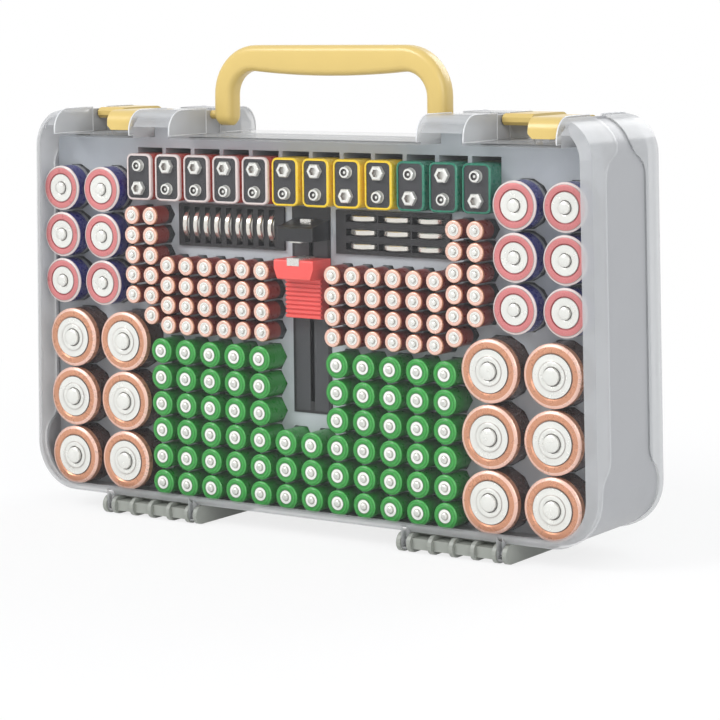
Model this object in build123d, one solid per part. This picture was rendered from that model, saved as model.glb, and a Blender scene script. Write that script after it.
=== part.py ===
from build123d import *
import math
import os

# Double-sided carry case for loose battery cells, in millimetres.
# Frame: origin at the middle of the feet's underside, +X to the right seen from the
# upright-cell side, +Y towards the side with the lying cells, +Z up.
# The case repeats itself when it is turned half a turn about Z.

# ---- the case's outline, seen from the front ----
CASE_Z_LOW = 11.0
CASE_Z_HIGH = 233.0
HALF_WIDTH_LOW = 187.0
HALF_WIDTH_HIGH = 183.0
LOWER_CORNER_RADIUS = 27.0
UPPER_CORNER_RADIUS = 22.0
HALF_DEPTH = 41.0

# ---- lids ----
LID_WALL = 1.7
SIDE_BEVEL = 4.6
SIDE_INNER_BEVEL = 3.6
TOP_EDGE_RADIUS = 12.0
TOP_INNER_BEVEL = 7.6
RIM_Y_TOP = 6.5
RIM_Y_SIDE = 21.5
RIM_Y_BOTTOM = 31.0
TOP_BEND_Z = (222.0, 200.0)
BOTTOM_BEND_Z = (58.0, 40.0)

# ---- notches in the top edge ----
NOTCH_FLOOR_Z = 219.0
HANDLE_NOTCH_HALF = 82.0
LATCH_NOTCH_X = 138.0
LATCH_NOTCH_HALF = 27.5

# ---- centre frame ----
FRAME_RECESS = 1.0
FRAME_WALL = 1.8
SEAM_GAP = 0.25

# ---- handle ----
HANDLE_HALF = 77.5
HANDLE_LEG = 12.5
HANDLE_DEPTH = 12.0
HANDLE_TOP_Z = 269.0
HANDLE_UNDER_Z = 254.5
HANDLE_BELLY = 2.5
HANDLE_OUTER_RADIUS = 28.0
HANDLE_INNER_RADIUS = 14.0
HANDLE_CHAMFER = 2.4
PIVOT_Z = 229.5
HANDLE_PIN_RADIUS = 2.5
HANDLE_PIN_END = 87.0

# ---- latches ----
LATCH_OFFSET = 17.5
LATCH_WIDTH = 18.0
LATCH_TOP_Z = 232.7
LATCH_TIP_Z = 221.6
LATCH_REACH = 37.0
LATCH_SKIN = 1.9
LATCH_CORNER_RADIUS = 7.0
LATCH_PIN_RADIUS = 1.5
LATCH_HUB_RADIUS = 3.2

# ---- hinges ----
HINGE_X = 101.0
HINGE_PIN_Y = 35.8
HINGE_PIN_Z = 5.2
HINGE_NOSE_RADIUS = 5.2
NOSE_FLATS = 16
HINGE_PIN_RADIUS = 1.6
FIN_PITCH = 13.2
FIN_THICKNESS = 2.4
EAR_OFFSET = 32.7
EAR_THICKNESS = 2.6
KNUCKLE_OFFSET = 29.5
KNUCKLE_WIDTH = 3.3
KNUCKLE_RADIUS = 4.4
BAR_HALF = 2.9
HINGE_PLATE_UNDER_Z = 9.0

RUNNING_CLEARANCE = 0.05

# ---- front tray: upright cells ----
TRAY_FACE_Y = -20.0
TRAY_PLATE = 2.0
SOCKET_FLOOR = 1.0
BACK_FLOOR_Y = 23.8

# ---- cells: diameter, length ----
D_CELL = (33.8, 61.5)
C_CELL = (25.8, 50.0)
AA_CELL = (14.2, 50.5)
AAA_CELL = (10.3, 44.5)
NINE_VOLT = (26.5, 17.5, 48.5)
NINE_POCKET_TOP_Z = 211.0
SOCKET_PLAY = 0.3
SMALL_SOCKET_FLATS = 6
LARGE_SOCKET_FLATS = 12
# degrees that put a flat above and below each cell
SOCKET_TURN = {SMALL_SOCKET_FLATS: 0, LARGE_SOCKET_FLATS: 15}

# ---- back tray: lying cells ----
BACK_FACE_Y = 30.0
LYING_PLAY = 1.2

# ---- coin racks ----
RACK_X = 54.0
RACK_HALF_WIDTH = 36.5
RACK_Z = (156.0, 180.0)
RACK_FACE_Y = -22.0
RACK_BACK_Y = -9.0
COIN = (20.0, 3.2)
UPRIGHT_COIN_X = -55.1
UPRIGHT_COIN_PITCH = 7.4
LYING_COIN_X = 55.5
LYING_COIN_PITCH = (21.4, 7.6)

# ---- cell tester ----
TESTER_HALF = 12.7
TESTER_Z = (66.5, 181.0)
TESTER_FACE_Y = -20.6
TESTER_BACK_Y = -12.0
TRACK_PLATE = 2.0
TRACK_SLOT_HALF = 1.3
TRACK_SLOT_Z = (73.0, 163.0)
CHANNEL_HALF = 9.0
JAW_TIP_Y = -37.0
JAW_Z = (163.0, 171.0)
SLIDER_Z = (120.0, 142.0, 153.0)
SLIDER_LIP_Y = -38.0
SLIDER_PAD_Y = -29.0
SLIDER_GAP = 0.3
CONTACT_THICKNESS = 0.8


def front_slab(sketch, y_front, y_back):
    """Extrude a sketch drawn in X and Z from y_front to y_back."""
    plane = Plane(origin=(0, y_back, 0), x_dir=(1, 0, 0), z_dir=(0, -1, 0))
    return extrude(plane * sketch, amount=y_back - y_front)


def side_slab(sketch, x_low, x_high):
    """Extrude a sketch drawn in Y and Z from x_low to x_high."""
    return extrude(Plane.YZ.offset(x_low) * sketch, amount=x_high - x_low)


def block(x, y, z):
    """A box from three (low, high) pairs."""
    size = [high - low for low, high in (x, y, z)]
    centre = [(low + high) / 2 for low, high in (x, y, z)]
    return Pos(*centre) * Box(*size)


def x_cylinder(radius, x_low, x_high, y, z):
    """A cylinder along X."""
    middle = (x_low + x_high) / 2
    return Pos(middle, y, z) * Rotation(0, 90, 0) * Cylinder(radius, x_high - x_low)


def half_turn(shape):
    """The same shape on the other side of the case."""
    return Rotation(0, 0, 180) * shape


def outline(inset=0.0):
    """The case's outline in X and Z, drawn in by inset all round."""
    low = CASE_Z_LOW + inset
    high = CASE_Z_HIGH - inset
    wide = HALF_WIDTH_LOW - inset
    narrow = HALF_WIDTH_HIGH - inset
    points = [(-wide, low), (wide, low), (narrow, high), (-narrow, high)]
    shape = Polygon(*points, align=None)
    lower = shape.vertices().group_by(Axis.Y)[0]
    shape = fillet(lower, LOWER_CORNER_RADIUS - inset)
    upper = shape.vertices().group_by(Axis.Y)[-1]
    return fillet(upper, UPPER_CORNER_RADIUS - inset)


def notch_cuts(wall=0.0):
    """The three notches of the top edge, grown by wall on each side and below."""
    floor = NOTCH_FLOOR_Z - wall
    cuts = []
    for centre, half in ((0, HANDLE_NOTCH_HALF), (LATCH_NOTCH_X, LATCH_NOTCH_HALF),
                         (-LATCH_NOTCH_X, LATCH_NOTCH_HALF)):
        reach = half + wall
        cuts.append(block((centre - reach, centre + reach), (-60, 60), (floor, 260)))
    return cuts


def rim_points(gap=0.0):
    """Rim of a lid in the side view, top to bottom, moved towards the middle by gap."""
    return [(-RIM_Y_TOP + gap, 260.0), (-RIM_Y_TOP + gap, TOP_BEND_Z[0]),
            (-RIM_Y_SIDE + gap, TOP_BEND_Z[1]), (-RIM_Y_SIDE + gap, BOTTOM_BEND_Z[0]),
            (-RIM_Y_BOTTOM + gap, BOTTOM_BEND_Z[1]), (-RIM_Y_BOTTOM + gap, -20.0)]


def s_bend(start, end):
    """Two equal arcs from start down to end, upright at both ends."""
    middle = ((start[0] + end[0]) / 2, (start[1] + end[1]) / 2)
    return [TangentArc(start, middle, tangent=(0, -1)), TangentArc(end, middle, tangent=(0, 1))]


def rim_line(gap=0.0):
    """The S-curved rim as a chain of lines and arcs."""
    top, bend_a, bend_b, bend_c, bend_d, bottom = rim_points(gap)
    return [Line(top, bend_a), *s_bend(bend_a, bend_b), Line(bend_b, bend_c),
            *s_bend(bend_c, bend_d), Line(bend_d, bottom)]


def lid_zone():
    """Everything in front of the front lid's rim."""
    points = rim_points()
    far = -60.0
    edges = rim_line() + [Line(points[-1], (far, points[-1][1])),
                          Line((far, points[-1][1]), (far, points[0][1])),
                          Line((far, points[0][1]), points[0])]
    return side_slab(make_face(edges), -200, 200)


def band_zone():
    """Everything between the two rims, with the seam gap taken off."""
    front = rim_line(SEAM_GAP)
    back = [mirror(edge, Plane.YZ) for edge in front]
    points = rim_points(SEAM_GAP)
    top = Line(points[0], (-points[0][0], points[0][1]))
    bottom = Line(points[-1], (-points[-1][0], points[-1][1]))
    return side_slab(make_face(front + back + [top, bottom]), -200, 200)


def lid_outside():
    """The outside of the front lid: bevelled all round, and rounded along the top."""
    body = front_slab(outline(), -HALF_DEPTH, 0)
    edge = body.faces().sort_by(Axis.Y)[0].edges()
    body = chamfer(edge, SIDE_BEVEL)
    crown = Polygon((-HALF_DEPTH, 0), (0, 0), (0, CASE_Z_HIGH), (-HALF_DEPTH, CASE_Z_HIGH), align=None)
    front_top = crown.vertices().sort_by(Axis.Y)[-2:].sort_by(Axis.X)[0]
    return body & side_slab(fillet(front_top, TOP_EDGE_RADIUS), -200, 200)


def lid_inside():
    """The hollow of the front lid, with flat slopes behind the outside's edges."""
    front = -HALF_DEPTH + LID_WALL
    top = CASE_Z_HIGH - LID_WALL
    body = front_slab(outline(LID_WALL), front, 1)
    edge = body.faces().sort_by(Axis.Y)[0].edges()
    body = chamfer(edge, SIDE_INNER_BEVEL)
    crown = Polygon((front, 0), (1, 0), (1, top), (front + TOP_INNER_BEVEL, top),
                    (front, top - TOP_INNER_BEVEL), align=None)
    return body & side_slab(crown, -200, 200)


def make_front_lid():
    outer = lid_outside()
    for cut in notch_cuts():
        outer -= cut
    hollow = lid_inside()
    for cut in notch_cuts(LID_WALL):
        hollow -= cut
    lid = (outer - hollow) & lid_zone()
    # low catch under the tip of each latch
    for centre in (LATCH_NOTCH_X + LATCH_OFFSET, -LATCH_NOTCH_X + LATCH_OFFSET):
        lid += block((centre - 7, centre + 7), (-34.6, -32.4), (NOTCH_FLOOR_Z - 0.5, 221.2))
    # hinge knuckles, with arms that meet the wall from outside
    for side in (-1, 1):
        for offset in (-KNUCKLE_OFFSET, KNUCKLE_OFFSET):
            lid += knuckle(side * HINGE_X + offset, hollow)
    bores = [x_cylinder(HINGE_PIN_RADIUS + RUNNING_CLEARANCE, side * HINGE_X - 40,
                        side * HINGE_X + 40, -HINGE_PIN_Y, HINGE_PIN_Z) for side in (-1, 1)]
    return lid - bores[0] - bores[1]


def knuckle(x, hollow):
    """Eye round a hinge pin, and its arm up to the lid."""
    profile = Pos(-HINGE_PIN_Y, HINGE_PIN_Z) * RegularPolygon(KNUCKLE_RADIUS, 12)
    profile += Pos(-HINGE_PIN_Y, HINGE_PIN_Z + 7.4) * Rectangle(2 * KNUCKLE_RADIUS, 14.8)
    return side_slab(profile, x - KNUCKLE_WIDTH / 2, x + KNUCKLE_WIDTH / 2) - hollow


def make_centre_frame():
    ring = front_slab(outline(FRAME_RECESS), -40, 40)
    for cut in notch_cuts():
        ring -= cut
    hollow = front_slab(outline(FRAME_RECESS + FRAME_WALL), -45, 45)
    for cut in notch_cuts(FRAME_WALL):
        hollow -= cut
    frame = (ring - hollow) & band_zone()
    lug_y = (-RIM_Y_TOP + SEAM_GAP, RIM_Y_TOP - SEAM_GAP)
    lug_z = (NOTCH_FLOOR_Z - FRAME_WALL, CASE_Z_HIGH - FRAME_RECESS)
    for side in (-1, 1):
        frame += block(sorted((side * HANDLE_NOTCH_HALF, side * HANDLE_PIN_END)), lug_y, lug_z)
        centre = side * LATCH_NOTCH_X
        for low, high in ((-LATCH_NOTCH_HALF - 3, -LATCH_NOTCH_HALF),
                          (LATCH_NOTCH_HALF, LATCH_NOTCH_HALF + 3)):
            frame += block((centre + low, centre + high), lug_y, lug_z)
        # saddle between the two latches, open above their pin
        frame += block((centre - 2, centre + 2), (-3, 3),
                       (NOTCH_FLOOR_Z - FRAME_WALL, PIVOT_Z - LATCH_PIN_RADIUS))
    for low, high in pin_spans():
        frame -= x_cylinder(pin_radius(low, high), low, high, 0, PIVOT_Z)
    return frame


def pin_spans():
    """X spans of the pins that cross the top band."""
    latch_reach = LATCH_NOTCH_HALF + 3
    leg_middle = HANDLE_HALF - HANDLE_LEG + 1.5
    return [(leg_middle, HANDLE_PIN_END), (-HANDLE_PIN_END, -leg_middle),
            (LATCH_NOTCH_X - latch_reach, LATCH_NOTCH_X + latch_reach),
            (-LATCH_NOTCH_X - latch_reach, -LATCH_NOTCH_X + latch_reach)]


def pin_radius(low, high):
    """Handle pins are the short, thick ones."""
    return HANDLE_PIN_RADIUS if high - low < 30 else LATCH_PIN_RADIUS


def on_bow(point):
    """Whether a point lies on the handle's outer edges."""
    return abs(point.X) > HANDLE_HALF - HANDLE_LEG + 2 or point.Z > HANDLE_UNDER_Z + 2


def make_handle():
    """A chamfered bow whose legs end in a round about the pivot."""
    low = PIVOT_Z - HANDLE_DEPTH / 2
    bow = Polygon((-HANDLE_HALF, low), (HANDLE_HALF, low), (HANDLE_HALF, HANDLE_TOP_Z),
                  (-HANDLE_HALF, HANDLE_TOP_Z), align=None)
    bow = fillet(bow.vertices().group_by(Axis.Y)[-1], HANDLE_OUTER_RADIUS)
    inner_half = HANDLE_HALF - HANDLE_LEG
    window = Polygon((-inner_half, low - 1), (inner_half, low - 1),
                     (inner_half, HANDLE_UNDER_Z), (-inner_half, HANDLE_UNDER_Z), align=None)
    window = fillet(window.vertices().group_by(Axis.Y)[-1], HANDLE_INNER_RADIUS)
    grip = inner_half - HANDLE_INNER_RADIUS
    belly_edge = ThreePointArc((-grip, HANDLE_UNDER_Z), (0, HANDLE_UNDER_Z - HANDLE_BELLY),
                               (grip, HANDLE_UNDER_Z))
    belly = make_face([belly_edge, Line((-grip, HANDLE_UNDER_Z), (grip, HANDLE_UNDER_Z))])
    window -= belly
    handle = front_slab(bow - window, -HANDLE_DEPTH / 2, HANDLE_DEPTH / 2)
    rims = handle.faces().group_by(Axis.Y)
    outer_edges = [edge for edge in rims[0].edges() + rims[-1].edges() if on_bow(edge.center())]
    handle = chamfer(outer_edges, HANDLE_CHAMFER)
    side_view = Pos(0, PIVOT_Z) * Circle(HANDLE_DEPTH / 2)
    side_view += Pos(0, PIVOT_Z + 25) * Rectangle(HANDLE_DEPTH, 50)
    handle &= side_slab(side_view, -HANDLE_HALF - 1, HANDLE_HALF + 1)
    for side in (-1, 1):
        bore = HANDLE_PIN_RADIUS + RUNNING_CLEARANCE
        pin_low, pin_high = sorted((side * (inner_half + 1), side * (HANDLE_HALF + 1)))
        handle -= x_cylinder(bore, pin_low, pin_high, 0, PIVOT_Z)
    return handle


def make_latch(centre):
    """A front latch: hub, top plate, rounded nose and finger tip."""
    bend_y = -LATCH_REACH + LATCH_CORNER_RADIUS
    bend_z = LATCH_TOP_Z - LATCH_CORNER_RADIUS
    skin = LATCH_SKIN
    inner_top = LATCH_TOP_Z - skin
    outer_arc = CenterArc((bend_y, bend_z), LATCH_CORNER_RADIUS, 90, 90)
    edges = [Line((0, LATCH_TOP_Z), (bend_y, LATCH_TOP_Z)), outer_arc,
             Line((-LATCH_REACH, bend_z), (-LATCH_REACH, LATCH_TIP_Z)),
             Line((-LATCH_REACH, LATCH_TIP_Z), (-LATCH_REACH + skin, LATCH_TIP_Z)),
             Line((-LATCH_REACH + skin, LATCH_TIP_Z), (-LATCH_REACH + skin, bend_z)),
             Line((-LATCH_REACH + skin, bend_z), (bend_y, inner_top)),
             Line((bend_y, inner_top), (0, inner_top)), Line((0, inner_top), (0, LATCH_TOP_Z))]
    profile = make_face(edges)
    low = centre - LATCH_WIDTH / 2
    high = centre + LATCH_WIDTH / 2
    profile += Pos(0, PIVOT_Z) * RegularPolygon(LATCH_HUB_RADIUS, 8, rotation=22.5)
    latch = side_slab(profile, low, high)
    tips = latch.edges().filter_by(Axis.Y).group_by(Axis.Z)[0]
    latch = chamfer(tips, 2.5)
    bore = x_cylinder(LATCH_PIN_RADIUS + RUNNING_CLEARANCE, low - 1, high + 1, 0, PIVOT_Z)
    return latch - bore


def nose_plate(thickness, x):
    """A plate from the front nose of a foot to the back nose, both rounded in flats."""
    shape = Pos(0, HINGE_PIN_Z) * Rectangle(2 * HINGE_PIN_Y, 2 * HINGE_NOSE_RADIUS)
    for side in (-1, 1):
        shape += Pos(side * HINGE_PIN_Y, HINGE_PIN_Z) * RegularPolygon(HINGE_NOSE_RADIUS, NOSE_FLATS)
    return side_slab(shape, x - thickness / 2, x + thickness / 2)


def make_hinge_foot(centre):
    """A finned foot with a bar along each hinge line, pressed onto the two hinge pins."""
    fin_xs = [centre + FIN_PITCH * step for step in range(-2, 3)]
    foot = block((centre - EAR_OFFSET - EAR_THICKNESS / 2, centre + EAR_OFFSET + EAR_THICKNESS / 2),
                 (-RIM_Y_BOTTOM + SEAM_GAP, RIM_Y_BOTTOM - SEAM_GAP),
                 (HINGE_PLATE_UNDER_Z, CASE_Z_LOW + FRAME_RECESS))
    core_half = 2 * FIN_PITCH
    bar_y = HINGE_PIN_Y + BAR_HALF
    bar_z = (HINGE_PIN_Z - BAR_HALF, HINGE_PIN_Z + BAR_HALF)
    foot += block((centre - core_half, centre + core_half), (-29, 29), (2.4, HINGE_PLATE_UNDER_Z))
    foot += block((centre - core_half, centre + core_half), (-bar_y, bar_y), bar_z)
    for x in fin_xs:
        foot += nose_plate(FIN_THICKNESS, x)
    for side in (-1, 1):
        foot -= x_cylinder(HINGE_PIN_RADIUS, centre - 40, centre + 40, side * HINGE_PIN_Y,
                           HINGE_PIN_Z)
    # the ears cap the pins' ends
    for side in (-1, 1):
        foot += nose_plate(EAR_THICKNESS, centre + side * EAR_OFFSET)
    return foot


def make_hinge_pin(centre, side):
    reach = EAR_OFFSET - EAR_THICKNESS / 2
    return x_cylinder(HINGE_PIN_RADIUS, centre - reach, centre + reach, side * HINGE_PIN_Y,
                      HINGE_PIN_Z)


# ---- where the cells stand: centres in X and Z ----
def grid(xs, zs):
    return [(x, z) for x in xs for z in zs]


def both_sides(xs):
    return [side * x for side in (-1, 1) for x in xs]


def rows(top, pitch, count):
    return [top - pitch * step for step in range(count)]


C_PLACES = grid(both_sides([136.9, 166.8]), rows(187.1, 26.94, 3))
D_PLACES = grid(both_sides([121.8, 159.5]), rows(100.4, 34.6, 3))
AAA_PLACES = grid(both_sides([23.6 + 13.06 * step for step in range(6)]), rows(145.6, 11.32, 4))
AAA_PLACES += grid(both_sides([100.9]), rows(173.2, 11.33, 6))
AAA_PLACES += grid(both_sides([113.9]), rows(173.2, 11.33, 5))
AA_PLACES = grid(both_sides([25.9 + 17.15 * step for step in range(5)]), rows(96.7, 15.1, 6))
AA_PLACES += grid(both_sides([8.6]), rows(51.4, 15.1, 3))
NINE_VOLT_PLACES = [(20.38 * (step - 5.5), 194.8) for step in range(12)]

# tips of the cells, in Y
D_TIP_Y = -37.7
C_TIP_Y = -36.5
AA_TIP_Y = -37.0
AAA_TIP_Y = -37.0
NINE_VOLT_TIP_Y = -34.0


def bottom_y(tip, length):
    return tip + length


def well(x, z, y_back):
    """A solid block behind the tray's face that the sockets are sunk into."""
    return block(x, (TRAY_FACE_Y + 0.5, y_back), z)


def flat_sided_sockets(places, diameter, y_floor, flats):
    """Sockets from the tray's face to y_floor, whose flats touch the cell on every side."""
    radius = (diameter + SOCKET_PLAY) / 2
    socket = RegularPolygon(radius, flats, major_radius=False, rotation=SOCKET_TURN[flats])
    sketch = Sketch() + [Pos(x, z) * socket for x, z in places]
    return front_slab(sketch, TRAY_FACE_Y - 1, y_floor)


def make_front_tray():
    inset = FRAME_RECESS + FRAME_WALL
    aa_floor = bottom_y(AA_TIP_Y, AA_CELL[1])
    aaa_floor = bottom_y(AAA_TIP_Y, AAA_CELL[1])
    c_floor = bottom_y(C_TIP_Y, C_CELL[1])
    nine_floor = bottom_y(NINE_VOLT_TIP_Y, NINE_VOLT[2])
    tray = front_slab(outline(inset), TRAY_FACE_Y, TRAY_FACE_Y + TRAY_PLATE)
    wells = [
        well((-122.4, 122.4), (181.1, NINE_POCKET_TOP_Z + 1), nine_floor + SOCKET_FLOOR),
        well((-95.0, 95.0), (105.0, 152.0), aaa_floor + SOCKET_FLOOR),
        well((-103.0, 103.0), (CASE_Z_LOW + inset, 105.0), aa_floor + SOCKET_FLOOR),
    ]
    for side in (-1, 1):
        c_x = sorted((side * 122.5, side * 183.0))
        wells.append(well(c_x, (118.0, 202.0), c_floor + SOCKET_FLOOR))
        d_x = sorted((side * 103.0, side * 184.0))
        wells.append(well(d_x, (CASE_Z_LOW + inset, 118.0), BACK_FLOOR_Y))
        wells.append(well(sorted((side * 94.0, side * 121.0)), (109.5, 180.0),
                          aaa_floor + SOCKET_FLOOR))
    inside = front_slab(outline(inset), TRAY_FACE_Y, HALF_DEPTH)
    for piece in wells:
        tray += piece & inside
    for cut in notch_cuts(FRAME_WALL + SEAM_GAP):
        tray -= cut
    tray -= flat_sided_sockets(D_PLACES, D_CELL[0], BACK_FLOOR_Y + 1, LARGE_SOCKET_FLATS)
    tray -= flat_sided_sockets(C_PLACES, C_CELL[0], c_floor, LARGE_SOCKET_FLATS)
    tray -= flat_sided_sockets(AA_PLACES, AA_CELL[0], aa_floor, SMALL_SOCKET_FLATS)
    tray -= flat_sided_sockets(AAA_PLACES, AAA_CELL[0], aaa_floor, SMALL_SOCKET_FLATS)
    for x, z in NINE_VOLT_PLACES:
        half = (NINE_VOLT[1] + SOCKET_PLAY) / 2
        tray -= block((x - half, x + half), (TRAY_FACE_Y - 1, nine_floor),
                      (z - NINE_VOLT[0] / 2 - 0.2, NINE_POCKET_TOP_Z))
    for side in (-1, 1):
        rack_x = sorted((side * (RACK_X - RACK_HALF_WIDTH), side * (RACK_X + RACK_HALF_WIDTH)))
        tray -= block(rack_x, (TRAY_FACE_Y - 1, RACK_BACK_Y), RACK_Z)
    tray -= block((-TESTER_HALF, TESTER_HALF), (TRAY_FACE_Y - 1, TESTER_BACK_Y), TESTER_Z)
    return tray


# ---- lying cells: centre X, centre Z, length along X, diameter ----
def lying(xs, zs, length, diameter):
    return [(x, z, length, diameter) for x, z in grid(xs, zs)]


BACK_CELLS = {
    "large": lying(both_sides([131.6]), rows(182.0, 20.8, 3), 65.0, 18.3),
    "stub": lying(both_sides([77.2]), rows(174.8, 17.6, 3), 27.0, 15.4),
    "camera": lying(both_sides([38.2]), rows(170.6, 19.4, 6), 34.2, 16.6),
    "short": lying([0.0], rows(172.5, 14.58, 10), 29.2, 11.9),
    "tiny": lying([-62.4, -31.2, 0.0, 31.2, 62.4], [189.4], 28.3, 10.0),
    "aa": lying(both_sides([138.7]), rows(121.9, 15.93, 6), 50.3, 14.1),
    "slim": lying(both_sides([84.4]), rows(122.5, 9.8, 7), 42.3, 8.2),
    "aaa": lying(both_sides([37.2, 83.8]), rows(51.8, 11.5, 2), 44.3, 10.2),
    "aaa_low": lying([46.7 * (step - 2.5) for step in range(6)], [27.8], 44.3, 10.2),
}
LYING_BOTTOM_Y = {"large": 20.8, "stub": 23.6, "camera": 22.4, "short": 25.2, "tiny": 25.9,
                  "aa": 24.9, "slim": 26.6, "aaa": 25.6, "aaa_low": 25.6}


def make_back_tray():
    inset = FRAME_RECESS + FRAME_WALL
    tray = front_slab(outline(inset), BACK_FLOOR_Y, BACK_FACE_Y)
    for cut in notch_cuts(FRAME_WALL + SEAM_GAP):
        tray -= cut
    deep = LYING_BOTTOM_Y["large"] - SOCKET_FLOOR
    for side in (-1, 1):
        tray += block(sorted((side * 97.0, side * 166.5)), (deep, BACK_FLOOR_Y + 0.5),
                      (128.5, 194.0))
    tray += block((-92.5, 92.5), (deep, BACK_FLOOR_Y + 0.5), (129.0, 185.0))
    tray += block((-57.5, 57.5), (deep, BACK_FLOOR_Y + 0.5), (63.0, 129.0))
    for name, places in BACK_CELLS.items():
        for x, z, length, diameter in places:
            half_x = (length + LYING_PLAY) / 2
            half_z = diameter / 2 + 0.3
            tray -= block((x - half_x, x + half_x), (LYING_BOTTOM_Y[name], BACK_FACE_Y + 1),
                          (z - half_z, z + half_z))
    return tray


def make_coin_rack(side):
    """Left: nine upright coin slots. Right: three rows of three lying ones."""
    x_low, x_high = sorted((side * (RACK_X - RACK_HALF_WIDTH), side * (RACK_X + RACK_HALF_WIDTH)))
    rack = block((x_low, x_high), (RACK_FACE_Y, RACK_BACK_Y), RACK_Z)
    middle_z = sum(RACK_Z) / 2
    radius = COIN[0] / 2 + 0.2
    half = COIN[1] / 2 + 0.3
    floor_y = RACK_BACK_Y + 1.2
    if side < 0:
        for step in range(9):
            x = UPRIGHT_COIN_X + UPRIGHT_COIN_PITCH * (step - 4)
            rack -= block((x - half, x + half), (RACK_FACE_Y - 1, floor_y),
                          (middle_z - radius, middle_z + radius))
    else:
        for column in (-1, 0, 1):
            for row in (-1, 0, 1):
                x = LYING_COIN_X + LYING_COIN_PITCH[0] * column
                z = middle_z + LYING_COIN_PITCH[1] * row
                rack -= block((x - radius, x + radius), (RACK_FACE_Y - 1, floor_y),
                              (z - half, z + half))
    return rack


def make_tester_base():
    base = block((-TESTER_HALF, TESTER_HALF), (TESTER_FACE_Y, TESTER_BACK_Y), TESTER_Z)
    channel_front = TESTER_FACE_Y + TRACK_PLATE
    base -= block((-CHANNEL_HALF, CHANNEL_HALF), (channel_front, TESTER_BACK_Y - 1.5),
                  (TRACK_SLOT_Z[0] - 2, TRACK_SLOT_Z[1] + 2))
    base -= block((-TRACK_SLOT_HALF, TRACK_SLOT_HALF), (TESTER_FACE_Y - 1, channel_front + 0.5),
                  TRACK_SLOT_Z)
    return base


def make_tester_head():
    """Fixed jaw over the top of the track."""
    y_back = TESTER_FACE_Y
    side = Polyline((y_back, JAW_Z[0]), (JAW_TIP_Y, JAW_Z[0]), (JAW_TIP_Y, JAW_Z[1] - 1),
                    (JAW_TIP_Y + 1.5, JAW_Z[1]), (y_back, JAW_Z[1] + 3), close=True)
    head = side_slab(make_face(side.edges()), -TESTER_HALF + 0.7, TESTER_HALF - 0.7)
    return fillet(head.edges().filter_by(Axis.Z).group_by(Axis.Y)[0], 1.5)


def make_tester_slider():
    """Thumb pad with ribs, a lip that carries a contact, and a stem in the track."""
    z_low, z_neck, z_top = SLIDER_Z
    y_back = TESTER_FACE_Y - SLIDER_GAP
    half_pad = 11.7
    lip_points = [(-13.0, z_top), (-13.0, z_neck + 6), (-half_pad + 1, z_neck), (half_pad - 1, z_neck),
                  (13.0, z_neck + 6), (13.0, z_top)]
    lip = front_slab(Polygon(*lip_points, align=None), SLIDER_LIP_Y, y_back)
    lip = fillet(lip.edges().filter_by(Axis.X).group_by(Axis.Y)[0], 1.2)
    pad = block((-half_pad, half_pad), (SLIDER_PAD_Y + 1.2, y_back), (z_low, z_neck))
    slider = lip + pad
    pitch = (z_neck - z_low) / 9
    for step in range(9):
        z = z_low + pitch * (step + 0.5)
        slider += block((-half_pad, half_pad), (SLIDER_PAD_Y, SLIDER_PAD_Y + 2),
                        (z - pitch * 0.3, z + pitch * 0.3))
    stem_half = TRACK_SLOT_HALF - SLIDER_GAP
    channel_front = TESTER_FACE_Y + TRACK_PLATE
    slider += block((-stem_half, stem_half), (y_back - 1, channel_front + 1.5), (z_low + 5, z_top - 3))
    slider += block((-7.5, 7.5), (channel_front + SLIDER_GAP, channel_front + 2.3),
                    (z_low + 5, z_top - 3))
    return slider


def make_contact(z_low):
    return block((-4, 4), (JAW_TIP_Y + 1, TESTER_FACE_Y - 1.5), (z_low, z_low + CONTACT_THICKNESS))


def save(name, shape):
    parts = shape.solids()
    for number, solid in enumerate(parts):
        if not solid.is_valid:
            print("invalid solid", name, number)
    export_step(Compound(children=list(parts)) if len(parts) > 1 else parts[0], f"parts/{name}.step")


def main():
    os.makedirs("parts", exist_ok=True)
    front_lid = make_front_lid()
    save("front_lid", front_lid)
    save("back_lid", half_turn(front_lid))
    save("centre_frame", make_centre_frame())
    save("front_tray", make_front_tray())
    save("back_tray", make_back_tray())
    save("handle", make_handle())
    spans = pin_spans()
    for name, span in zip(("handle_pin_right", "handle_pin_left", "latch_pin_right",
                           "latch_pin_left"), spans):
        save(name, x_cylinder(pin_radius(*span), span[0], span[1], 0, PIVOT_Z))
    right = make_latch(LATCH_NOTCH_X + LATCH_OFFSET)
    left = make_latch(-LATCH_NOTCH_X + LATCH_OFFSET)
    save("latch_front_right", right)
    save("latch_front_left", left)
    save("latch_back_left", half_turn(right))
    save("latch_back_right", half_turn(left))
    for name, side in (("left", -1), ("right", 1)):
        save(f"hinge_foot_{name}", make_hinge_foot(side * HINGE_X))
        save(f"hinge_pin_front_{name}", make_hinge_pin(side * HINGE_X, -1))
        save(f"hinge_pin_back_{name}", make_hinge_pin(side * HINGE_X, 1))
        save(f"coin_rack_{name}", make_coin_rack(side))
    save("tester_base", make_tester_base())
    save("tester_head", make_tester_head())
    save("tester_slider", make_tester_slider())
    save("fixed_contact", make_contact(JAW_Z[0] - CONTACT_THICKNESS))
    save("slider_contact", make_contact(SLIDER_Z[2]))


main()
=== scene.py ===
import math

import bpy
from mathutils import Matrix, Vector


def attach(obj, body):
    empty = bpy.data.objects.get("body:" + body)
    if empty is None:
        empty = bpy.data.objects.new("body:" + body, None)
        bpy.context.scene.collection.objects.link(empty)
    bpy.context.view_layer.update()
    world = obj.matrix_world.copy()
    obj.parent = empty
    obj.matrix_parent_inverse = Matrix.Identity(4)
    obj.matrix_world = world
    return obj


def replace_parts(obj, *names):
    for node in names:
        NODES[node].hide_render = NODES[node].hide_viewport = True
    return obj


# Looks for the double-sided battery carry case. Lengths are in millimetres unless
# a name says otherwise; the scene itself is in metres.

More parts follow.
